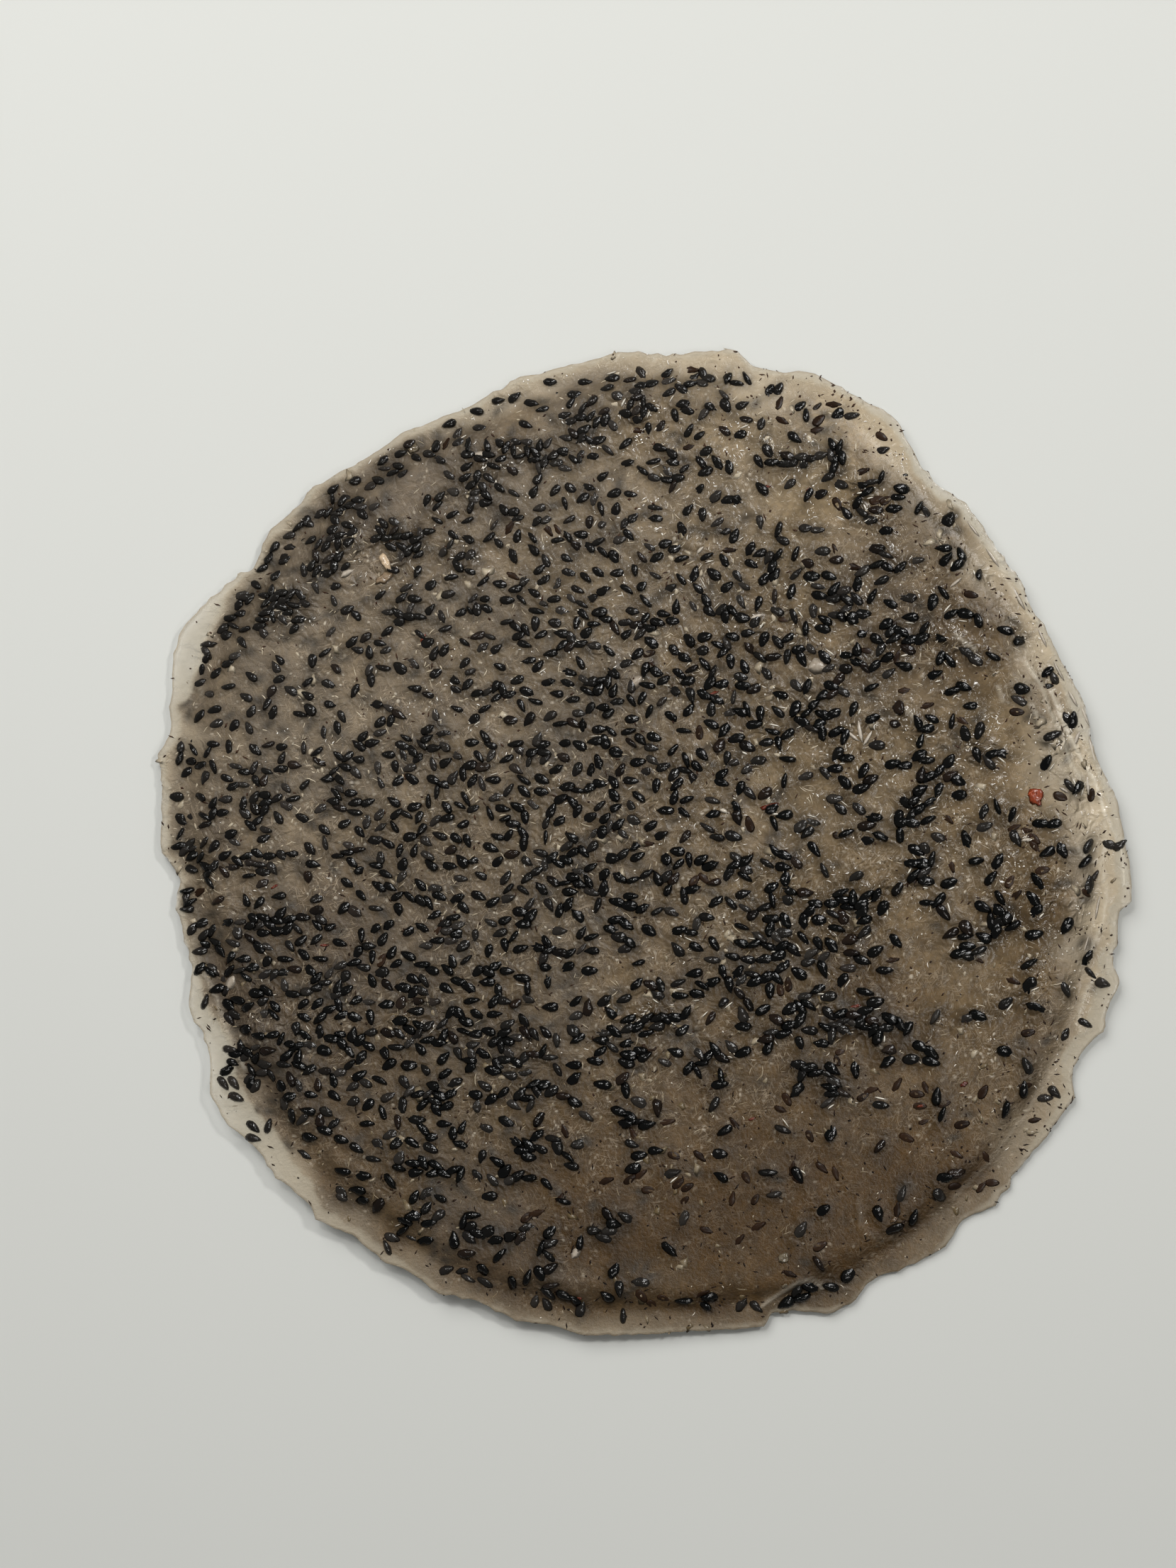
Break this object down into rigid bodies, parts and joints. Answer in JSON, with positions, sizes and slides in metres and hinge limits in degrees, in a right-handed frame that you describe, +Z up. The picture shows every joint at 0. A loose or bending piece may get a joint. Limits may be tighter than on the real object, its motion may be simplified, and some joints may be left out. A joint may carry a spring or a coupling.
{
  "type": "coconut rice cracker",
  "caption": "Round raw coconut rice cracker: a thin translucent starch sheet full of black sesame seeds, thinning to a clear torn film at its scalloped rim.",
  "frame": {"origin": "middle of the flat spot on the underside that the cracker lies on", "axes": "+Z up through the thickness towards the shown face, +Y to the top of the cracker as pictured, +X to its right"},
  "size_m": [0.2068, 0.2095, 0.0062],
  "materials": {
    "dried_rice_starch": "glossy dried rice starch with coconut shreds and black sesame seeds, clear at the rim"
  },
  "bodies": {
    "root": {"cracker": "dried_rice_starch"}
  },
  "joints": []
}
